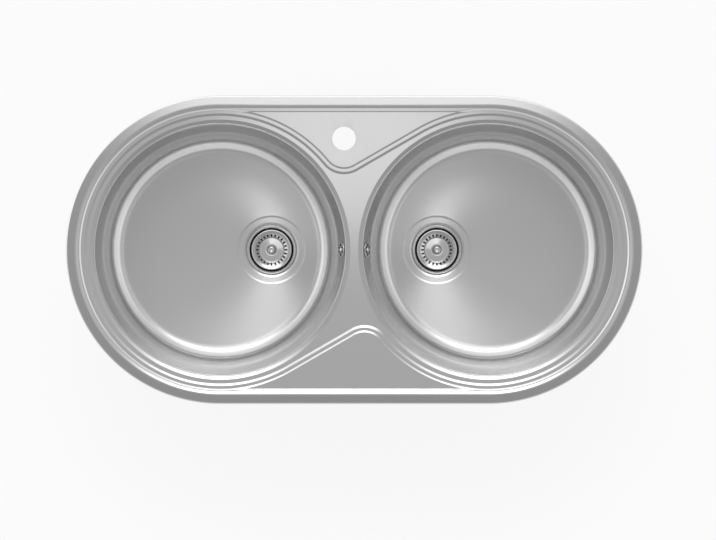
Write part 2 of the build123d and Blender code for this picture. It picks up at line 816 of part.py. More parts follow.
for number, place in enumerate(clip_places, 1):
    with BuildPart() as clip_strap:
        add(strap.part.moved(place))
    finish(clip_strap, f"clip_strap_{number}")
    with BuildPart() as clip_pad:
        add(pad.part.moved(place))
    finish(clip_pad, f"clip_pad_{number}")
    with BuildPart() as clip_screw:
        add(screw.part.moved(place))
    finish(clip_screw, f"clip_screw_{number}")
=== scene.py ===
import json
from math import acos, atan2, cos, pi, radians, sin, sqrt, tan

import bmesh
import bpy
from mathutils import Matrix, Vector


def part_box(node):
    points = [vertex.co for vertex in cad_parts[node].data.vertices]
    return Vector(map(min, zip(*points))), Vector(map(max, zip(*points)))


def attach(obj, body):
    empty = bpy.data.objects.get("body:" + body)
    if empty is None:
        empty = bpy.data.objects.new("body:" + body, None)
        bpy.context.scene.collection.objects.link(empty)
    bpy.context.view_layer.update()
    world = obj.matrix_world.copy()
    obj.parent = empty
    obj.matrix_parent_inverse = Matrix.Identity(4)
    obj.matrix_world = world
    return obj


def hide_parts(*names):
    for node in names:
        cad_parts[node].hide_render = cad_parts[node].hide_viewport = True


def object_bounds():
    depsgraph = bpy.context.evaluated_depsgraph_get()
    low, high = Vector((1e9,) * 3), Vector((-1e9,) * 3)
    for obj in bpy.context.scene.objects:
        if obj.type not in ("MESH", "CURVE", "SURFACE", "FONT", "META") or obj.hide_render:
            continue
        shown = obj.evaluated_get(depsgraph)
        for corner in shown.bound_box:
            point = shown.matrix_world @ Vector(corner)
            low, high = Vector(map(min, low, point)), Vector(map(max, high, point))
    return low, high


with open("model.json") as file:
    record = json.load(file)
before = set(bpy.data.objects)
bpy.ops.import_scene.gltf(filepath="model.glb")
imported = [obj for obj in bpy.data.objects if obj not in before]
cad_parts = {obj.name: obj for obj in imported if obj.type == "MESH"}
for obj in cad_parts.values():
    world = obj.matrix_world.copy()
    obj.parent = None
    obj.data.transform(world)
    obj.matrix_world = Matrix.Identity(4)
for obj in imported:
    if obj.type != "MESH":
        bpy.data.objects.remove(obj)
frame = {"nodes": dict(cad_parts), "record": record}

cad_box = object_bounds()
MM = 0.001
MERGE = 1e-7  # metres; points nearer than this become one
HAIR = 1e-6  # metres; heights nearer than this count as level

# ---- the sink's driving sizes, in metres; heights are above the worktop ----
EDGE = 230 * MM  # rim edge to the line between the bowl centres
BOWL_X = 200 * MM  # bowl centre to the sink's middle
WELD = 188.5 * MM  # radius of the weld between the deck and a bowl
SHEET = 0.8 * MM
SEAM = 0.4 * MM  # depth and half width of the groove along the weld
LAND = 201.5 * MM  # radius of the middle of the slope round a bowl's low land
NOSE = 38 * MM  # radius of the round tip of each pressed panel
BORDER_ANGLE = radians(30)  # lean of a panel's straight side
CROWN_Z = 5.0 * MM
LEDGE_Z = 3.4 * MM
PLATEAU_Z = 2.8 * MM  # the flat of a pressed panel
BORDER_Z = 1.9 * MM
LAND_Z = 0.8 * MM
LIP_Z = -0.7 * MM
PLATEAU_EDGE = 206 * MM  # middle of the step between a panel's flat and the ledge
TAP_HOLE = 17.5 * MM
TAP_SHIFT = 13.5 * MM  # tap hole behind the middle of the tap deck's tip
FLOOR_Z = -155 * MM
FLOOR_FALL = 3 * MM
RECESS_Z = FLOOR_Z - FLOOR_FALL
SEAT_Z = RECESS_Z - 2.5 * MM  # where the waste's flange sits
DRAIN_X = 124 * MM
SIDES = (("left", -1), ("right", 1))


# ---------------------------------------------------------------- materials

CLOUD_SCALE, CLOUD_DETAIL = 9.0, 4.0  # patches about a hand wide
LINE_ROUGHNESS = 0.04
BOWL_CLOUD_ROUGHNESS = 0.04
RING_DENSITY = 2600.0  # how fast a bowl's brush pattern changes across its lines
RING_WANDER = (4, 4, 0)  # and how slowly along them
FLOOR_FACING = (0.94, 0.985)  # upward part of the normal where the floor's sheen fades in
OUTWARD_SHARE = 0.6  # of the sheen of the leaning sides, the part that leans outwards
BOWL_TONES_WITH_PAINTED_SHADE = (  # steel's colour from the floor up to the lip, set by height; painted light makes the floor and a band round the crease lighter, painted shade makes the wall between them darker
    (0.0, 0.70),
    (0.06, 0.70),
    (0.10, 0.50),
    (0.58, 0.50),
    (0.68, 0.62),
    (0.82, 0.62),
    (0.86, 0.55),
    (1.0, 0.55),
)
# degrees that the sides of the brush lines lean, each with its share of the sheen
BRUSH_LEANS = ((0, 0.24), (7, 0.10), (14.5, 0.28))


class Wire:
    """An output socket of a material, with arithmetic that adds Math nodes."""

    def __init__(self, finish, socket):
        self.finish = finish
        self.socket = socket

    def math(self, operation, first, second):
        return self.finish.node("Math", {0: first, 1: second}, operation=operation)

    def __add__(self, other):
        return self.math("ADD", self, other)

    def __radd__(self, other):
        return self.math("ADD", other, self)

    def __sub__(self, other):
        return self.math("SUBTRACT", self, other)

    def __rsub__(self, other):
        return self.math("SUBTRACT", other, self)

    def __mul__(self, other):
        return self.math("MULTIPLY", self, other)

    def __rmul__(self, other):
        return self.math("MULTIPLY", other, self)

    def __truediv__(self, other):
        return self.math("DIVIDE", self, other)

    def __pow__(self, other):
        return self.math("POWER", self, other)


class Finish:
    """A node tree of a material or of the world."""

    def __init__(self, owner):
        self.owner = owner
        owner.use_nodes = True
        self.tree = owner.node_tree
        self.tree.nodes.clear()

    def node(self, kind, inputs=None, output=0, stops=None, **settings):
        """Adds a node, sets it up, fills its sockets with values or wires and gives an output."""
        node = self.tree.nodes.new("ShaderNode" + kind)
        for key, value in settings.items():
            setattr(node, key, value)
        if stops:
            ramp = node.color_ramp.elements
            for place, value in stops[2:]:
                ramp.new(place)
            for element, (place, value) in zip(ramp, stops):
                element.position = place
                element.color = (value, value, value, 1)
        for key, value in (inputs or {}).items():
            if isinstance(value, Wire):
                self.tree.links.new(value.socket, node.inputs[key])
            else:
                node.inputs[key].default_value = value
        return Wire(self, node.outputs[output])

    def between(self, value, low, high):
        """Eases from 0 where a value is low to 1 where it is high."""
        ends = {"Value": value, "From Min": low, "From Max": high}
        return self.node("MapRange", ends, interpolation_type="SMOOTHSTEP")

    def close(self, shader, kind="OutputMaterial"):
        """Wires a shader to the output and gives the material or world."""
        node = self.tree.nodes.new("ShaderNode" + kind)
        self.tree.links.new(shader.socket, node.inputs["Surface"])
        return self.owner


def place_on_piece(finish, scale):
    """Object coordinates stretched by a scale for each axis."""
    spot = finish.node("TexCoord", output="Object")
    return finish.node("Mapping", {"Vector": spot, "Scale": scale})


def noise(finish, spot, scale, detail):
    """A cloudy pattern from 0 to 1."""
    return finish.node("TexNoise", {"Vector": spot, "Scale": scale, "Detail": detail})


def two_tone(finish, pattern, first, second):
    """A colour between two colours, as a pattern says."""
    ends = {"Factor": pattern, "A": [*first, 1], "B": [*second, 1]}
    return finish.node("Mix", ends, output=2, data_type="RGBA")


def steel(name, tone, gloss, brush_depth, stretch, mottle=0.0):
    """Stainless steel with fine brush lines; stretch says which way they run."""
    finish = Finish(bpy.data.materials.new(name))
    lines = noise(finish, place_on_piece(finish, stretch), 1.0, 3.0)
    cloud = noise(finish, place_on_piece(finish, (1, 1, 1)), CLOUD_SCALE, CLOUD_DETAIL)
    rough = gloss + (cloud - 0.5) * mottle + (lines - 0.5) * LINE_ROUGHNESS
    dark = [tone * c for c in (0.985, 0.985, 0.985)]
    light = [tone * c for c in (1.015, 1.015, 1.01)]
    shade = two_tone(finish, lines, dark, light)
    relief = finish.node("Bump", {"Height": lines, "Strength": 1.0, "Distance": brush_depth})
    shader = finish.node(
        "BsdfPrincipled",
        {"Base Color": shade, "Metallic": 1.0, "Roughness": rough, "Normal": relief},
    )
    return finish.close(shader)


def bowl_steel(name, gloss, waste_x):
    """Satin steel whose fine lines run round the waste on the floor and level along the wall; its colour
    carries painted light on the floor and round the crease and painted shade on the wall.
    """
    finish = Finish(bpy.data.materials.new(name))
    spot = finish.node("TexCoord", output="Object")
    spot = finish.node("Mapping", {"Vector": spot, "Location": (-waste_x, 0, 0)})
    flat = finish.node("VectorMath", {0: spot, 1: (1, 1, 0)}, operation="MULTIPLY")
    outwards = finish.node("VectorMath", {0: flat}, operation="NORMALIZE")
    reach = finish.node("VectorMath", {0: flat}, output="Value", operation="LENGTH")
    height = finish.node("SeparateXYZ", {"Vector": spot}, output="Z")
    rings = finish.node("CombineXYZ", {"X": reach * RING_DENSITY, "Z": height * RING_DENSITY})
    spread = finish.node("VectorMath", {0: outwards, 1: RING_WANDER, 2: rings}, operation="MULTIPLY_ADD")
    lines = noise(finish, spread, 1.0, 2.0)
    cloud = noise(finish, spot, CLOUD_SCALE, CLOUD_DETAIL)
    facing = finish.node("NewGeometry", output="Normal")
    upright = finish.node("SeparateXYZ", {"Vector": facing}, output="Z")
    on_floor = finish.between(upright, *FLOOR_FACING)
    # painted light and shade by height: the floor and a band round the crease lighter, the wall darker
    painted_light_and_shade = finish.node("ValToRGB", {"Fac": (height - FLOOR_Z) / -FLOOR_Z}, stops=BOWL_TONES_WITH_PAINTED_SHADE)
    shade = finish.node("VectorMath", {0: painted_light_and_shade, "Scale": 0.985 + lines * 0.03}, operation="SCALE")
    rough = gloss + (cloud - 0.5) * BOWL_CLOUD_ROUGHNESS

    def gleam(lean):
        """The sheen of the sides of the brush lines that lean outwards from the waste by an angle."""
        slope = [tan(radians(lean))] * 3
        leant = finish.node("VectorMath", {0: outwards, 1: slope, 2: facing}, operation="MULTIPLY_ADD")
        turned_face = finish.node("VectorMath", {0: leant}, operation="NORMALIZE")
        look = {"Base Color": shade, "Metallic": 1.0, "Roughness": rough, "Normal": turned_face}
        return finish.node("BsdfPrincipled", look)

    shader, total = gleam(0), BRUSH_LEANS[0][1]
    for lean, share in BRUSH_LEANS[1:]:
        total += 2 * share
        both = finish.node("MixShader", {"Fac": OUTWARD_SHARE, 1: gleam(-lean), 2: gleam(lean)})
        shader = finish.node("MixShader", {"Fac": on_floor * (2 * share / total), 1: shader, 2: both})
    return finish.close(shader)


def moulded(name, colour, gloss, grain=900.0, depth=0.02 * MM):
    """Moulded plastic or rubber with a fine grain."""
    finish = Finish(bpy.data.materials.new(name))
    spot = place_on_piece(finish, (1, 1, 1))
    grains = noise(finish, spot, grain, 2.0)
    cloud = noise(finish, spot, 30.0, 3.0)
    shade = two_tone(finish, cloud, [0.94 * c for c in colour], [min(1, 1.05 * c) for c in colour])
    relief = finish.node("Bump", {"Height": grains, "Strength": 0.6, "Distance": depth})
    shader = finish.node(
        "BsdfPrincipled",
        {"Base Color": shade, "Roughness": gloss + (cloud - 0.5) * 0.12, "Normal": relief},
    )
    return finish.close(shader)


FINE_LINES = 0.001 * MM  # depth of the brush lines
PLATING = 0.004 * MM  # depth of the grain of zinc plating
FINISHES = {  # for each material slot of the record
    "sink_steel": steel("satin_steel", 0.62, 0.25, FINE_LINES, (60, 2600, 900), mottle=0.03),
    "polished_steel": steel("polished_steel", 0.70, 0.14, FINE_LINES, (500, 500, 900)),
    "zinc_steel": steel("zinc_plated_steel", 0.62, 0.30, PLATING, (900, 900, 900), mottle=0.12),
    "seal_rubber": moulded("black_rubber", (0.025, 0.025, 0.027), 0.55),
    "damping_rubber": moulded("damping_mat", (0.07, 0.07, 0.075), 0.75, grain=500.0, depth=0.1 * MM),
    "waste_plastic": moulded("waste_plastic", (0.80, 0.80, 0.78), 0.38),
    "pad_plastic": moulded("pad_plastic", (0.04, 0.04, 0.042), 0.42),
}
BOWL_GLOSS = 0.255
BOWL_STEEL = {side: bowl_steel(f"{side}_bowl_steel", BOWL_GLOSS, sign * DRAIN_X) for side, sign in SIDES}


# ---------------------------------------------------------------- shapes

replaced = set()


def rounded(corners, steps):
    """The points of an outline in a plane, with an arc at each corner (across, up, radius)."""
    points = []
    for index, (x, y, radius) in enumerate(corners):
        here = Vector((x, y))
        if not radius or index in (0, len(corners) - 1):
            points.append(here)
            continue
        before = (Vector(corners[index - 1][:2]) - here).normalized()
        after = (Vector(corners[index + 1][:2]) - here).normalized()
        half = acos(max(-1, min(1, before.dot(after)))) / 2
        centre = here + (before + after).normalized() * (radius / sin(half))
        start = here + before * (radius / tan(half)) - centre
        end = here + after * (radius / tan(half)) - centre
        turn = atan2(start.x * end.y - start.y * end.x, start.dot(end))
        for step in range(steps + 1):
            points.append(centre + Matrix.Rotation(turn * step / steps, 2) @ start)
    return points


def chain(bm, points):
    """Adds a line of edges through points and gives its vertices."""
    verts = [bm.verts.new(p) for p in points]
    for pair in zip(verts, verts[1:]):
        bm.edges.new(pair)
    return verts


def ring_edges(bm, verts):
    """The edges of a closed line of vertices, the closing one made if it is missing."""
    pairs = zip(verts, verts[1:] + verts[:1])
    return [bm.edges.get(pair) or bm.edges.new(pair) for pair in pairs]


def widen(bm, verts, places):
    """Extrudes a closed line of vertices to new places, one for each vertex in turn."""
    made = bmesh.ops.extrude_edge_only(bm, edges=ring_edges(bm, verts))["geom"]
    fresh = {g for g in made if isinstance(g, bmesh.types.BMVert)}
    moved = [next(e.other_vert(v) for e in v.link_edges if e.other_vert(v) in fresh) for v in verts]
    for vert, place in zip(moved, places):
        vert.co = place
    return moved


def spin(profile, steps, centre=(0, 0, 0), closed=False):
    """A bmesh of a profile of (radius, height) turned round a vertical axis."""
    bm = bmesh.new()
    verts = chain(bm, [(p[0], 0, p[1]) for p in profile])
    if closed:
        ring_edges(bm, verts)
    geom, axis = verts + bm.edges[:], (0, 0, 1)
    bmesh.ops.spin(bm, geom=geom, cent=(0, 0, 0), axis=axis, angle=2 * pi, steps=steps, use_merge=True)
    bmesh.ops.remove_doubles(bm, verts=bm.verts, dist=MERGE)
    bmesh.ops.translate(bm, verts=bm.verts, vec=centre)
    bmesh.ops.recalc_face_normals(bm, faces=bm.faces)
    return bm


def piece(name, bm, body, slot, nodes, crease=40, material=None):
    """Makes an object of a bmesh, smooth but for edges sharper than crease, and puts it on its body."""
    bmesh.ops.remove_doubles(bm, verts=bm.verts, dist=MERGE)
    for face in bm.faces:
        face.smooth = True
    for edge in bm.edges:
        if len(edge.link_faces) == 2 and edge.calc_face_angle() > radians(crease):
            edge.smooth = False
    mesh = bpy.data.meshes.new(name)
    bm.to_mesh(mesh)
    bm.free()
    made = bpy.data.objects.new(name, mesh)
    bpy.context.scene.collection.objects.link(made)
    made.data.materials.append(material or FINISHES[slot])
    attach(made, body)
    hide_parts(*nodes)
    replaced.update(nodes)
    return made


def face_up(bm):
    """Turns a surface's faces to look up."""
    bmesh.ops.recalc_face_normals(bm, faces=bm.faces)
    if sum(face.normal.z * face.calc_area() for face in bm.faces) < 0:
        bmesh.ops.reverse_faces(bm, faces=bm.faces)


def apply_modifiers(made):
    """Makes the mesh of an object what its modifiers show."""
    shown = made.evaluated_get(bpy.context.evaluated_depsgraph_get())
    mesh = bpy.data.meshes.new_from_object(shown)
    old = made.data
    made.modifiers.clear()
    made.data = mesh
    bpy.data.meshes.remove(old)


def thicken(made, thickness):
    """Gives a surface a wall below it."""
    wall = made.modifiers.new("sheet", "SOLIDIFY")
    wall.thickness = thickness
    wall.offset = -1
    wall.use_even_offset = True
    wall.use_rim = True


def drill(made, cutters):
    """Cuts closed shapes out of a piece."""
    tool = bpy.data.meshes.new("drill")
    cutters.to_mesh(tool)
    cutters.free()
    drill_object = bpy.data.objects.new("drill", tool)
    bpy.context.scene.collection.objects.link(drill_object)
    cut = made.modifiers.new("cut", "BOOLEAN")
    cut.operation = "DIFFERENCE"
    cut.solver = "EXACT"
    cut.object = drill_object
    apply_modifiers(made)
    bpy.data.objects.remove(drill_object)
    bpy.data.meshes.remove(tool)


# ---------------------------------------------------------------- deck

CROWN_EDGE = EDGE - 14.7 * MM  # inner edge of the rim's crown
LEDGE_EDGE = EDGE - 18.7 * MM  # outer edge of the ledge inside it
PANEL_STEP = 1 * MM  # half the width of the step from a panel's flat up to the ledge
BACK_SLOPE = 0.08  # rise of the ledge behind the tap deck
FRONT_START = PLATEAU_EDGE + 1.2 * MM  # where the front panel's slope begins
STRAIGHT_FADE = 20 * MM  # how far the straight runs' heights take to fade into the bowls' ends

left_centre = Vector((-BOWL_X, 0))
right_centre = Vector((BOWL_X, 0))
side_direction = Vector((cos(BORDER_ANGLE), sin(BORDER_ANGLE)))
side_normal = Vector((-side_direction.y, side_direction.x))


def find_nose():
    """Centre of the tap deck's round tip: it touches the left bowl's land and the straight side."""
    reach = LAND + NOSE
    start = right_centre + side_normal * reach
    across = start - left_centre
    along = across.dot(side_direction)
    return start + side_direction * (sqrt(along**2 - across.dot(across) + reach**2) - along)


nose = find_nose()
tap_hole = Vector((nose.x, nose.y + TAP_SHIFT))


def arc(centre, radius, start, end, steps):
    """Points on an arc between two angles, the last one left out."""
    angles = [start + (end - start) * step / steps for step in range(steps)]
    return [centre + Vector((cos(a), sin(a))) * radius for a in angles]


def rim_path(radius):
    """The outline of the rim at a distance from the line between the bowl centres."""
    right = arc(right_centre, radius, -pi / 2, pi / 2, 120)
    straight_steps = 8
    back = [Vector((BOWL_X * (1 - 2 * step / straight_steps), radius)) for step in range(straight_steps)]
    half = right + back
    return half + [-p for p in half]


def land_path(spread):
    """The outline round both bowls' low lands, grown by spread."""
    disc, tip = LAND + spread, NOSE - spread
    lean = nose - left_centre
    touch = atan2(lean.y, lean.x)
    side_angle = atan2(side_normal.y, side_normal.x)
    side_top = right_centre + side_normal * disc
    tip_right = nose - side_normal * tip
    half = arc(right_centre, disc, touch - pi, side_angle, 160)
    half += [side_top.lerp(tip_right, step / 10) for step in range(10)]
    half += arc(nose, tip, side_angle - pi, touch - pi, 28)
    return half + [-p for p in half]


def smooth_step(share):
    """Eases from 0 to 1."""
    share = max(0, min(1, share))
    return share * share * (3 - 2 * share)


def shape_ledge(vert):
    """Sinks the pressed panels below the ledge; at the front one slope takes the ledge's place."""
    x, y, z = vert.co
    reach = sqrt(max(0, abs(x) - BOWL_X) ** 2 + y**2)
    if z < BORDER_Z + HAIR or reach > CROWN_EDGE:
        return
    straight = smooth_step((BOWL_X - abs(x)) / STRAIGHT_FADE)
    step = smooth_step((reach - PLATEAU_EDGE + PANEL_STEP) / (2 * PANEL_STEP))
    top = PLATEAU_Z + (LEDGE_Z - PLATEAU_Z) * step
    if y > 0:
        top += BACK_SLOPE * straight * max(0, reach - PLATEAU_EDGE - PANEL_STEP)
    else:
        slope = max(0, (reach - FRONT_START) / (CROWN_EDGE - FRONT_START))
        front = PLATEAU_Z + (CROWN_Z - PLATEAU_Z) * slope
        top += (front - top) * straight
    if reach < LEDGE_EDGE + 0.1 * MM:
        vert.co.z = BORDER_Z + (z - BORDER_Z) * (top - BORDER_Z) / (LEDGE_Z - BORDER_Z)
    elif y < 0:
        vert.co.z = max(z, top)


def make_deck():
    """The pressed top: a rim of nested outlines, two pressed panels and two round mouths."""
    rim_profile = rounded(
        [
            (EDGE, 0.0, 0),
            (EDGE, 1.4 * MM, 0.5 * MM),
            (EDGE - 1.6 * MM, 2.6 * MM, 1.5 * MM),
            (EDGE - 13 * MM, CROWN_Z, 3.0 * MM),
            (CROWN_EDGE, CROWN_Z, 1.4 * MM),
            (LEDGE_EDGE, LEDGE_Z, 1.6 * MM),
            (LEDGE_EDGE - 0.35 * MM, LEDGE_Z, 0),
        ],
        steps=4,
    )
    border_profile = rounded(
        [
            (8.9 * MM, LEDGE_Z, 0),
            (8.75 * MM, LEDGE_Z, 0.4 * MM),
            (6.25 * MM, BORDER_Z, 1.2 * MM),
            (1.75 * MM, BORDER_Z, 1.2 * MM),
            (-1.75 * MM, LAND_Z, 1.6 * MM),
            (-3.2 * MM, LAND_Z, 0),
        ],
        steps=4,
    )
    mouth_profile = rounded(
        [
            (WELD + 7.5 * MM, LAND_Z, 0),
            (WELD + 5.5 * MM, LAND_Z, 2.0 * MM),
            (WELD + 2 * SEAM, LIP_Z, 0.1 * MM),
            (WELD + SEAM, LIP_Z - SEAM, 0.1 * MM),
            (WELD, LIP_Z, 0),
        ],
        steps=4,
    )
    bm = bmesh.new()

    def nest(path, profile):
        """Steps from outline to outline as a profile says; gives the first and last ones' edges."""
        places = [[(*p, height) for p in path(spread)] for spread, height in profile]
        first = last = chain(bm, places[0])
        for next_places in places[1:]:
            last = widen(bm, last, next_places)
        return ring_edges(bm, first), ring_edges(bm, last)

    _, rim_inner = nest(rim_path, rim_profile)
    border_outer, border_inner = nest(land_path, border_profile)
    mouths = []
    for centre in (left_centre, right_centre):
        mouth_outer, _ = nest(lambda radius: arc(centre, radius, 0, 2 * pi, 240), mouth_profile)
        mouths += mouth_outer
    tap = ring_edges(bm, chain(bm, [(*p, LEDGE_Z) for p in arc(tap_hole, TAP_HOLE, 0, 2 * pi, 72)]))
    bmesh.ops.scale(bm, verts=bm.verts, vec=[1 / MM] * 3)  # the fill works in millimetres
    for edges in (border_inner + mouths, rim_inner + border_outer + tap):
        bmesh.ops.triangle_fill(bm, use_beauty=True, edges=edges, normal=(0, 0, 1))
    bmesh.ops.scale(bm, verts=bm.verts, vec=[MM] * 3)
    for side in (1, -1):
        for share in (-1.0, -0.6, -0.3, 0.3, 0.6, 1.0):  # rows of points for the panels' steps
            bmesh.ops.bisect_plane(
                bm,
                geom=bm.verts[:] + bm.edges[:] + bm.faces[:],
                dist=HAIR,
                plane_co=(0, side * (PLATEAU_EDGE + share * PANEL_STEP), 0),
                plane_no=(0, 1, 0),
            )
    for vert in bm.verts:
        shape_ledge(vert)
    face_up(bm)
    deck = piece("deck", bm, "sink", "sink_steel", ["deck_panel"], crease=50)
    thicken(deck, SHEET)
    soft = deck.modifiers.new("flats", "WEIGHTED_NORMAL")
    soft.keep_sharp = True


# ---------------------------------------------------------------- bowls

MOUTH_R = WELD - 1.5 * MM
CREASE = (176 * MM, -30 * MM)  # radius and height where the wall turns steeper
FLOOR_R = 138 * MM  # radius of the floor inside the toe
RECESS_R = 52 * MM
DRAIN_SHIFT = 76 * MM  # a waste's middle to its bowl's
DISH_STEPS = 12  # rings of faces between the toe and the recess
WALL_TAKES_FALL = 60 * MM  # height over which the wall takes up the floor's fall
OVERFLOW_DROP = 16.3 * MM  # lip to the overflow's middle


def tilt_floor(vert, waste_x):
    """Lays the floor on an even fall to the waste; the wall's lowest part stretches down to meet it."""
    x, y, z = vert.co
    away = sqrt((x - waste_x) ** 2 + y**2)
    if away < RECESS_R:
        return
    share = min(1, (away - RECESS_R) / (FLOOR_R + DRAIN_SHIFT - RECESS_R))
    fall = FLOOR_FALL * (1 - share)
    if x**2 + y**2 < FLOOR_R**2:
        vert.co.z = FLOOR_Z - fall
    else:
        vert.co.z = z - fall * (1 - smooth_step((z - FLOOR_Z) / WALL_TAKES_FALL))


def next_ring(bm, rim, middle, new_middle, radius, height):
    """Extrudes the round edge about middle to a ring about a new middle, and gives its edges."""
    made = bmesh.ops.extrude_edge_only(bm, edges=rim)["geom"]
    ring = [g for g in made if isinstance(g, bmesh.types.BMEdge) and g.is_boundary]
    for vert in {v for e in ring for v in e.verts}:
        outwards = (Vector(vert.co[:2]) - middle).normalized()
        vert.co = (*(new_middle + outwards * radius), height)
    return ring


def make_bowl(side, sign):
    """A round bowl, its floor falling to the waste's recess, with an overflow hole in its wall."""
    wall = rounded(
        [
            (WELD, LIP_Z, 0),
            (MOUTH_R, LIP_Z, 2.0 * MM),
            (*CREASE, 14 * MM),
            (163.2 * MM, FLOOR_Z + 9.0 * MM, 9 * MM),
            (149.0 * MM, FLOOR_Z, 22 * MM),
            (FLOOR_R, FLOOR_Z, 0),
        ],
        steps=10,
    )
    bm = spin(wall, steps=240)
    rim = [e for e in bm.edges if e.is_boundary and e.verts[0].co.z < FLOOR_Z / 2]
    middle, waste = Vector((0, 0)), Vector((-sign * DRAIN_SHIFT, 0))
    for step in range(1, DISH_STEPS + 1):
        share = step / DISH_STEPS
        new_middle = waste * share
        rim = next_ring(bm, rim, middle, new_middle, FLOOR_R + (RECESS_R - FLOOR_R) * share, RECESS_Z)
        middle = new_middle
    recess = rounded(
        [
            (RECESS_R, RECESS_Z, 0),
            (RECESS_R - 0.5 * MM, RECESS_Z, 0.5 * MM),
            (RECESS_R - 3.3 * MM, RECESS_Z - 0.9 * MM, 1.5 * MM),
            (41.0 * MM, RECESS_Z - 1.0 * MM, 1.5 * MM),
            (37.6 * MM, SEAT_Z, 0.8 * MM),
            (33.6 * MM, SEAT_Z, 0),
        ],
        steps=4,
    )
    for radius, height in recess[1:]:
        rim = next_ring(bm, rim, waste, waste, radius, height)
    for vert in bm.verts:
        tilt_floor(vert, waste.x)
    face_up(bm)
    bmesh.ops.translate(bm, verts=bm.verts, vec=(sign * BOWL_X, 0, 0))
    name, nodes = f"{side}_round_bowl", [f"{side}_bowl"]
    bowl = piece(name, bm, "sink", "sink_steel", nodes, crease=50, material=BOWL_STEEL[side])
    thicken(bowl, SHEET)
    apply_modifiers(bowl)
    drill(bowl, on_wall(upright_bars([(0, 0, 0)], 9.8 * MM, -6 * MM, 6 * MM, segments=64), sign))


# ---------------------------------------------------------------- wastes and baskets

BASKET_SHEET = 0.65 * MM


def mm(*points):
    """Profile points given in millimetres."""
    return [tuple(value * MM for value in point) for point in points]


def turned(name, profile, centre, body, slot, node, steps=96, closed=False):
    """A lathe-turned piece round an upright axis, in the place of a node."""
    bm = spin(rounded(profile, 4), steps, centre, closed)
    return piece(name, bm, body, slot, [node], crease=35)


def upright_bars(spots, radius, low, high, length=0.0, segments=16):
    """Closed upright bars at (x, y, turn); length draws each one out along its turn into a slot."""
    bars = bmesh.new()
    for x, y, turn in spots:
        disc = bmesh.ops.create_circle(bars, cap_ends=True, segments=segments, radius=radius)["verts"]
        for vert in disc:
            vert.co.x += length / 2 if vert.co.x > 0 else -length / 2
        made = bmesh.ops.extrude_face_region(bars, geom=disc[0].link_faces[:])["geom"]
        lifted = [g for g in made if isinstance(g, bmesh.types.BMVert)]
        bmesh.ops.translate(bars, verts=lifted, vec=(0, 0, high - low))
        bmesh.ops.rotate(bars, verts=disc + lifted, matrix=Matrix.Rotation(turn, 3, "Z"), cent=(0, 0, 0))
        bmesh.ops.translate(bars, verts=disc + lifted, vec=(x, y, low))
    bmesh.ops.recalc_face_normals(bars, faces=bars.faces)
    return bars


def round_spots(centre, radius, count, start=0.0):
    """Places evenly spaced on a circle, each with its angle."""
    angles = [start + 2 * pi * n / count for n in range(count)]
    return [(centre[0] + radius * cos(a), centre[1] + radius * sin(a), a) for a in angles]


def make_cup(side, sign):
    """The strainer cup: a flange on the recess, a throat for the basket and a sump with six holes."""
    centre = (sign * DRAIN_X, 0, SEAT_Z)
    profile = mm(
        (35.9, 1.0, 0),
        (35.9, 2.2, 0.3),
        (33.6, 0.1, 0.5),
        (33.3, -6.0, 2.0),
        (27.8, -14.4, 1.5),
        (20.5, -14.4, 1.2),
        (20.0, -27.8, 2.0),
        (3.4, -27.8, 0),
    )
    node = f"{side}_strainer_cup"
    cup = turned(f"{side}_waste_cup", profile, centre, "sink", "polished_steel", node, steps=144)
    thicken(cup, SHEET)
    apply_modifiers(cup)
    outlets = round_spots(centre, 13 * MM, 6)
    drill(cup, upright_bars(outlets, 4 * MM, SEAT_Z - 32 * MM, SEAT_Z - 24 * MM, segments=32))


def make_basket(side, sign):
    """The lift-out basket: rolled rim, sloping band with 24 slots, low dome, knob and rubber plug."""
    centre = (sign * DRAIN_X, 0, SEAT_Z)
    body = f"{side}_basket_set"
    profile = mm(
        (30.2, -3.4, 0),
        (30.2, -1.2, 0.8),
        (28.3, -1.25, 2.0),
        (25.0, -2.25, 1.0),
        (19.6, -4.6, 0.8),
        (18.4, -8.8, 0.8),
        (17.2, -8.8, 0.6),
        (9.4, -7.8, 3.0),
        (3.1, -7.7, 0),
    )
    node = f"{side}_basket"
    basket = turned(f"{side}_strainer_basket", profile, centre, body, "polished_steel", node, steps=144)
    thicken(basket, BASKET_SHEET)
    apply_modifiers(basket)
    slots = round_spots(centre, 21.8 * MM, 24)
    drill(basket, upright_bars(slots, 1.2 * MM, SEAT_Z - 14 * MM, SEAT_Z - 1 * MM, length=2.0 * MM))
    knob = mm(
        (0, 0.35, 0),
        (1.8, 0.35, 1.2),
        (2.8, 0.7, 1.0),
        (4.7, 0.3, 1.8),
        (5.4, -1.6, 1.0),
        (4.6, -3.4, 1.4),
        (3.0, -4.6, 1.5),
        (3.0, -6.6, 1.0),
        (4.0, -7.7, 0.3),
        (3.0, -7.75, 0.2),
        (3.0, -11.9, 0.3),
        (6.3, -11.9, 0.4),
        (6.3, -13.4, 0.4),
        (0, -13.4, 0),
    )
    turned(f"{side}_knob", knob, centre, body, "polished_steel", f"{side}_basket_knob", steps=48)
    plug = mm(
        (3.15, -8.6, 0),
        (6.5, -8.4, 0.6),
        (6.5, -10.4, 0.8),
        (20.5, -10.4, 1.0),
        (23.0, -11.4, 0.8),
        (23.0, -12.7, 0.6),
        (21.6, -14.1, 0.8),
        (7.5, -14.1, 0.5),
        (7.5, -11.9, 0.4),
        (3.15, -11.9, 0),
    )
    turned(f"{side}_plug", plug, centre, body, "seal_rubber", f"{side}_basket_plug", closed=True)


# ---------------------------------------------------------------- below the bowls

INLET_Z = SEAT_Z - 20 * MM  # middle of the waste's side inlet
PIPE_TOP = -36.5 * MM
PIPE_X = 12 * MM  # from the sink's middle to an overflow pipe's upright run
PIPE_BEND = 30 * MM
PIPE_END = 75.7 * MM  # where the pipes end, inside the nuts
PIPE_WALL = 1.4 * MM
GRIPS = 12  # grooves round a nut
GRIP_DEPTH = 1.1 * MM


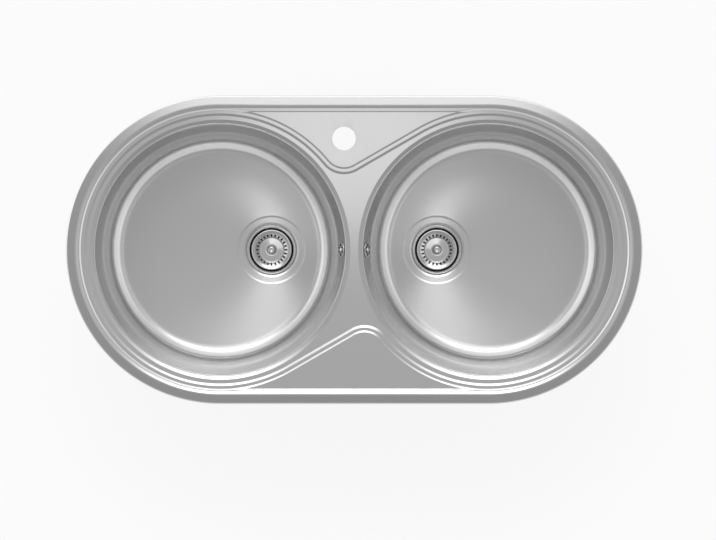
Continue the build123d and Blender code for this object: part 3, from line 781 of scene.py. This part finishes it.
def along_x(bm, sign, x, z):
    """Lays an upright turned shape down along X, its foot at x and its head away from the middle."""
    turn = Matrix.Rotation(sign * pi / 2, 3, "Y")
    bmesh.ops.rotate(bm, verts=bm.verts, matrix=turn, cent=(0, 0, 0))
    bmesh.ops.translate(bm, verts=bm.verts, vec=(x, 0, z))
    bmesh.ops.recalc_face_normals(bm, faces=bm.faces)
    return bm


def join(bm, other):
    """Adds a second bmesh to the first."""
    carrier = bpy.data.meshes.new("carrier")
    other.to_mesh(carrier)
    other.free()
    bm.from_mesh(carrier)
    bpy.data.meshes.remove(carrier)
    return bm


def threads(radius, depth, start, pitch, count):
    """Profile points of a run of screw thread seen in section, going down."""
    points = []
    for turn in range(count):
        top = start - turn * pitch
        points += [
            (radius - depth, top, 0.2),
            (radius, top - 0.3 * pitch, 0.25),
            (radius, top - 0.5 * pitch, 0.25),
            (radius - depth, top - 0.8 * pitch, 0.2),
        ]
    return points


def make_waste(side, sign):
    """The plastic waste body with its threaded outlet and side inlet."""
    centre = (sign * DRAIN_X, 0, SEAT_Z)
    profile = mm(
        (33.0, -3.3, 0.6),
        (41.0, -3.3, 1.0),
        (41.0, -7.3, 1.0),
        (38.0, -7.8, 1.2),
        (38.0, -31.3, 4.0),
        (26.5, -43.3, 2.0),
        (26.5, -47.3, 0.6),
        (22.6, -48.0, 0.3),
        *threads(23.9, 1.2, -49.0, 2.6, 8),
        (22.6, -70.6, 0.3),
        (22.2, -71.3, 0.4),
        (20.5, -71.3, 0.4),
        (20.5, -46.0, 2.0),
        (35.5, -30.0, 3.0),
        (35.5, -10.0, 1.0),
        (33.0, -8.0, 1.0),
        (33.0, -3.3, 0),
    )
    bm = spin(rounded(profile, 3), 96, centre)
    inlet = mm(
        (10.1, 36, 0),
        (11.2, 36, 0),
        (11.2, 49, 0.5),
        (13.0, 49.5, 0.3),
        *[(r, 108 - z, b) for r, z, b in threads(13.0, 0.9, 61.0, 2.2, 5)[::-1]],  # going outwards
        (12.1, 61.7, 0.3),
        (10.1, 62.0, 0.3),
        (10.1, 36, 0),
    )
    join(bm, along_x(spin(rounded(inlet, 2), 64), -sign, sign * DRAIN_X, INLET_Z))
    piece(f"{side}_waste_shell", bm, "sink", "waste_plastic", [f"{side}_waste_body"], crease=32)


def make_pipe_nut(side, sign):
    """The grooved nut that clamps the overflow pipe to the waste's inlet."""
    grip = mm(
        (10.3, 52.2, 0),
        (15.6, 52.2, 0.8),
        (17.0, 53.4, 0.6),
        (17.0, 66.0, 0.8),
        (14.4, 68.0, 1.0),
        (10.3, 68.0, 0),
    )
    nut = spin(rounded(grip, 4), 144, closed=True)
    for vert in nut.verts:
        reach = Vector(vert.co[:2]).length
        if reach > 15 * MM:
            groove = max(0, cos(GRIPS * atan2(vert.co.y, vert.co.x))) ** 3
            vert.co.xy *= 1 - GRIP_DEPTH * groove / reach
    along_x(nut, -sign, sign * DRAIN_X, INLET_Z)
    piece(f"{side}_grip_nut", nut, "sink", "waste_plastic", [f"{side}_pipe_nut"])


def make_pipe(side, sign):
    """The overflow pipe: straight down from the overflow head, round a bend and into the nut."""
    pipe = bmesh.new()
    end = bmesh.ops.create_circle(pipe, segments=48, radius=9.95 * MM)["verts"]
    bmesh.ops.translate(pipe, verts=end, vec=(sign * PIPE_X, 0, PIPE_TOP))
    edges = pipe.edges[:]

    def draw_out(edges, vec):
        """Extrudes the pipe's open end along a vector and gives the new end's edges."""
        made = bmesh.ops.extrude_edge_only(pipe, edges=edges)["geom"]
        verts = [g for g in made if isinstance(g, bmesh.types.BMVert)]
        bmesh.ops.translate(pipe, verts=verts, vec=vec)
        fresh = set(verts)
        return [g for g in made if isinstance(g, bmesh.types.BMEdge) and set(g.verts) <= fresh]

    bend_top, down_steps, across_steps = INLET_Z + PIPE_BEND, 8, 3
    for _ in range(down_steps):
        edges = draw_out(edges, (0, 0, (bend_top - PIPE_TOP) / down_steps))
    bend_end = bmesh.ops.spin(
        pipe,
        geom=edges,
        cent=(sign * (PIPE_X + PIPE_BEND), 0, bend_top),
        axis=(0, 1, 0),
        angle=-sign * pi / 2,
        steps=20,
    )["geom_last"]
    edges = [g for g in bend_end if isinstance(g, bmesh.types.BMEdge)]
    for _ in range(across_steps):
        edges = draw_out(edges, (sign * (PIPE_END - PIPE_X - PIPE_BEND) / across_steps, 0, 0))
    bmesh.ops.remove_doubles(pipe, verts=pipe.verts, dist=MERGE)
    bmesh.ops.recalc_face_normals(pipe, faces=pipe.faces)
    tube = piece(f"{side}_overflow_tube", pipe, "sink", "waste_plastic", [f"{side}_overflow_pipe"])
    thicken(tube, PIPE_WALL)


# ---------------------------------------------------------------- overflows in the walls

WALL_RUN = (MOUTH_R - CREASE[0], LIP_Z - CREASE[1])  # width and height of the wall's upper part
WALL_FACE = -Vector((WALL_RUN[1], 0, -WALL_RUN[0])).normalized()  # the left bowl's, at the overflow
OVERFLOW_X = -BOWL_X + MOUTH_R - OVERFLOW_DROP * WALL_RUN[0] / WALL_RUN[1]


def on_wall(bm, sign):
    """Moves a shape made round the Z axis, its face up, to the overflow's place on a bowl's wall."""
    turn = Vector((0, 0, 1)).rotation_difference(WALL_FACE).to_matrix()
    bmesh.ops.rotate(bm, verts=bm.verts, matrix=turn, cent=(0, 0, 0))
    bmesh.ops.translate(bm, verts=bm.verts, vec=(OVERFLOW_X, 0, LIP_Z - OVERFLOW_DROP))
    if sign > 0:
        bmesh.ops.scale(bm, verts=bm.verts, vec=(-1, 1, 1))
    bmesh.ops.recalc_face_normals(bm, faces=bm.faces)
    return bm


def make_overflow(side, sign):
    """The pierced rosette and its screw inside the bowl."""
    rosette = mm(
        (2.2, 0.55, 0),
        (2.2, 1.35, 0.3),
        (9.6, 1.25, 0.8),
        (10.6, 1.45, 0.6),
        (12.0, 1.2, 0.6),
        (12.5, 0.45, 0.2),
        (11.6, 0.5, 0),
        (2.2, 0.55, 0),
    )
    disc = on_wall(spin(rounded(rosette, 3), 96), sign)
    plate = piece(f"{side}_rosette", disc, "sink", "polished_steel", [f"{side}_overflow_rosette"])
    bars = upright_bars(round_spots((0, 0), 7.2 * MM, 6, pi / 6), 2.4 * MM, -1 * MM, 4 * MM, segments=24)
    drill(plate, on_wall(bars, sign))
    head = mm(
        (0, 3.0, 0),
        (2.2, 2.85, 1.5),
        (3.5, 1.9, 0.5),
        (3.55, 1.45, 0.1),
        (1.95, 1.4, 0),
        (1.95, -10, 0),
        (0, -10, 0),
    )
    screw = on_wall(spin(rounded(head, 4), 32), sign)
    piece(f"{side}_rosette_screw", screw, "sink", "polished_steel", [f"{side}_overflow_screw"])


# ---------------------------------------------------------------- clamp screws

CLAMPS = 8
HEAD_CORNER = 5.48 * MM  # middle to corner of the hexagon head
HEAD_HEIGHT = 5.0  # in millimetres, as the shank's profile is
SCREW_PITCH = 1.0  # in millimetres


def make_clamp_screw(number):
    """A hexagon-headed clamp screw with its thread."""
    low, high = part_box(f"clip_screw_{number}")
    x, y = (low.x + high.x) / 2, (low.y + high.y) / 2
    bm = bmesh.new()
    bmesh.ops.create_circle(bm, cap_ends=True, segments=6, radius=HEAD_CORNER)
    made = bmesh.ops.extrude_face_region(bm, geom=bm.faces[:])["geom"]
    lifted = [g for g in made if isinstance(g, bmesh.types.BMVert)]
    bmesh.ops.translate(bm, verts=lifted, vec=(0, 0, HEAD_HEIGHT * MM))
    level = [e for e in bm.edges if abs(e.verts[0].co.z - e.verts[1].co.z) < HAIR]
    bmesh.ops.bevel(
        bm, geom=level, offset=0.5 * MM, segments=2, profile=0.5, affect="EDGES", material=-1
    )
    turn = 0.0 if high.x - low.x > high.y - low.y else pi / 2
    bmesh.ops.rotate(bm, verts=bm.verts, matrix=Matrix.Rotation(turn, 3, "Z"), cent=(0, 0, 0))
    bmesh.ops.translate(bm, verts=bm.verts, vec=(x, y, low.z))
    top = (high.z - low.z) / MM
    thread_top = top - 2.6
    thread_turns = int((thread_top - HEAD_HEIGHT - 0.5) / SCREW_PITCH)
    shank = mm(
        (0, top, 0),
        (1.95, top - 0.2, 0.4),
        (1.95, top - 2.3, 0.2),
        *threads(3.0, 0.45, thread_top, SCREW_PITCH, thread_turns),
        (2.5, HEAD_HEIGHT, 0),
        (2.5, HEAD_HEIGHT - 1.0, 0),
        (0, HEAD_HEIGHT - 1.0, 0),
    )
    join(bm, spin(rounded(shank, 1), 24, (x, y, low.z)))
    name, body, nodes = f"clamp_screw_shape_{number}", f"clamp_screw_{number}", [f"clip_screw_{number}"]
    piece(name, bm, body, "zinc_steel", nodes, crease=30)


make_deck()
for side, sign in SIDES:
    make_bowl(side, sign)
    make_cup(side, sign)
    make_basket(side, sign)
    make_waste(side, sign)
    make_pipe_nut(side, sign)
    make_pipe(side, sign)
    make_overflow(side, sign)
for number in range(1, CLAMPS + 1):
    make_clamp_screw(number)

# ---------------------------------------------------------------- nodes that keep their CAD shape

for entry in frame["record"]["subparts"]:
    node = frame["nodes"].get(entry["node"])
    if node is None or entry["node"] in replaced:
        continue
    node.data.materials.clear()
    node.data.materials.append(FINISHES[entry["material_slot"]])

# ---------------------------------------------------------------- studio

SKY_ROUND = (  # brightness of the studio from straight up to the horizon
    (0.0, 0.66),
    (0.19, 0.48),
    (0.27, 0.38),
    (0.47, 0.38),
    (0.56, 0.62),
    (0.66, 1.0),
    (0.85, 0.92),
    (1.0, 0.70),
)
SKY_BACK = (  # what the large panel behind the sink adds
    (0.0, 0.0),
    (0.11, 0.04),
    (0.19, 0.06),
    (0.27, 0.08),
    (0.40, 0.85),
    (0.50, 0.75),
    (0.60, 0.20),
    (1.0, 0.05),
)
SKY_LEFT = (  # what a tall screen at the back left adds
    (0.0, 0.0),
    (0.55, 0.0),
    (0.66, 0.35),
    (0.75, 0.5),
    (1.0, 0.8),
)
SKY_SIDES = (  # what the screens left and right of the sink add
    (0.0, 0.0),
    (0.30, 0.0),
    (0.42, 0.15),
    (0.55, 0.35),
    (0.68, 0.30),
    (0.85, 0.1),
    (1.0, 0.0),
)
BACK_EDGE = 0.6  # where each panel's light fades in; 1 faces the panel squarely
SIDE_EDGE = 0.7
CORNER_EDGE = 0.6
CORNER = (0.82, 0.57)  # direction of the screen at the back left: leftwards, backwards
GLARE_TIGHTNESS = 30.0  # of the narrow bright strip in the middle of the back panel
GLARE = 3.0  # the strip's light, as a share of the panel's
LAMP_POWER = 0.052
LAMP_SIZE = (0.36, 0.34)  # width and depth
LAMP_FRONT = 0.03  # how far behind the sink's middle the lamp's front edge is
LAMP_HEIGHT = 0.6
LAMP_SPREAD = radians(90)
FLOOR_HALF = 30  # metres
FLOOR_COLOUR = (0.9, 0.9, 0.9, 1)
FLOOR_GLOW = 0.85  # how far the floor that the camera sees is pure white
PIXEL = 1.4915 * MM  # a pixel of the photograph on the sink
PICTURE = (716, 540)
OUTLINE_MIDDLE = (354.2, 249.7)  # the sink's middle in the photograph, in pixels
CAMERA_HEIGHT = 30.0


def studio():
    """A grey studio, dark at mid height and bright behind the sink, with a lamp over a white floor."""
    world = bpy.data.worlds.new("studio")
    bpy.context.scene.world = world
    finish = Finish(world)
    look = finish.node("TexCoord", output="Generated")
    parts = [finish.node("SeparateXYZ", {"Vector": look}, output=axis) for axis in "XYZ"]
    across, backwards, upwards = parts
    fall = finish.node("Math", {0: upwards}, operation="ARCCOSINE") / (pi / 2)
    level = (1.0 - upwards * upwards + 0.003) ** 0.5  # never zero, straight up or down

    def turned_to(part, start):
        """How squarely a direction faces a side, as seen in plan, from 0 at start to 1."""
        return finish.between(part / level, start, 1.0)

    round_light, back_light, side_light, left_light = [
        finish.node("ValToRGB", {"Fac": fall}, stops=stops)
        for stops in (SKY_ROUND, SKY_BACK, SKY_SIDES, SKY_LEFT)
    ]
    sides = finish.node("Math", {0: across}, operation="ABSOLUTE")
    glare = turned_to(backwards, 0.0) ** GLARE_TIGHTNESS
    behind = turned_to(backwards, BACK_EDGE) + glare * GLARE
    corner = backwards * CORNER[1] - across * CORNER[0]
    light = round_light + back_light * behind
    light = light + side_light * turned_to(sides, SIDE_EDGE) + left_light * turned_to(corner, CORNER_EDGE)
    finish.close(finish.node("Background", {"Color": (1, 1, 1, 1), "Strength": light}), "OutputWorld")

    lamp = bpy.data.lights.new("panel", "AREA")
    lamp.shape = "RECTANGLE"
    lamp.size, lamp.size_y = LAMP_SIZE
    lamp.spread = LAMP_SPREAD
    lamp.energy = LAMP_POWER
    panel = bpy.data.objects.new("panel", lamp)
    panel.location = (0, LAMP_FRONT + LAMP_SIZE[1] / 2, LAMP_HEIGHT)
    bpy.context.scene.collection.objects.link(panel)


def white_floor():
    """A floor that the camera sees as white, with the sink's soft shadow on it."""
    bm = bmesh.new()
    bmesh.ops.create_grid(bm, x_segments=1, y_segments=1, size=FLOOR_HALF)
    bmesh.ops.translate(bm, verts=bm.verts, vec=(0, 0, cad_box[0].z))
    mesh = bpy.data.meshes.new("floor")
    bm.to_mesh(mesh)
    bm.free()
    floor = bpy.data.objects.new("floor", mesh)
    bpy.context.scene.collection.objects.link(floor)
    paint = Finish(bpy.data.materials.new("floor_white"))
    rays = ("Is Camera Ray", "Is Glossy Ray", "Is Transmission Ray")
    camera_ray, glossy_ray, through_ray = [paint.node("LightPath", output=name) for name in rays]
    matt = paint.node("BsdfDiffuse", {"Color": FLOOR_COLOUR})
    glow = paint.node("Emission", {"Color": (1, 1, 1, 1), "Strength": 1.0})
    seen = (camera_ray + glossy_ray + through_ray) * FLOOR_GLOW
    floor.data.materials.append(paint.close(paint.node("MixShader", {"Fac": seen, 1: matt, 2: glow})))


def camera():
    """Straight down from far above, framed as the photograph is."""
    data = bpy.data.cameras.new("camera")
    data.lens = data.sensor_width * CAMERA_HEIGHT / (PICTURE[0] * PIXEL)
    data.clip_end = 2 * CAMERA_HEIGHT
    eye = bpy.data.objects.new("camera", data)
    eye.location = (
        (PICTURE[0] / 2 - OUTLINE_MIDDLE[0]) * PIXEL,
        (OUTLINE_MIDDLE[1] - PICTURE[1] / 2) * PIXEL,
        CAMERA_HEIGHT,
    )
    bpy.context.scene.collection.objects.link(eye)
    bpy.context.scene.camera = eye


studio()
white_floor()
camera()
bpy.context.scene.view_settings.view_transform = "Standard"
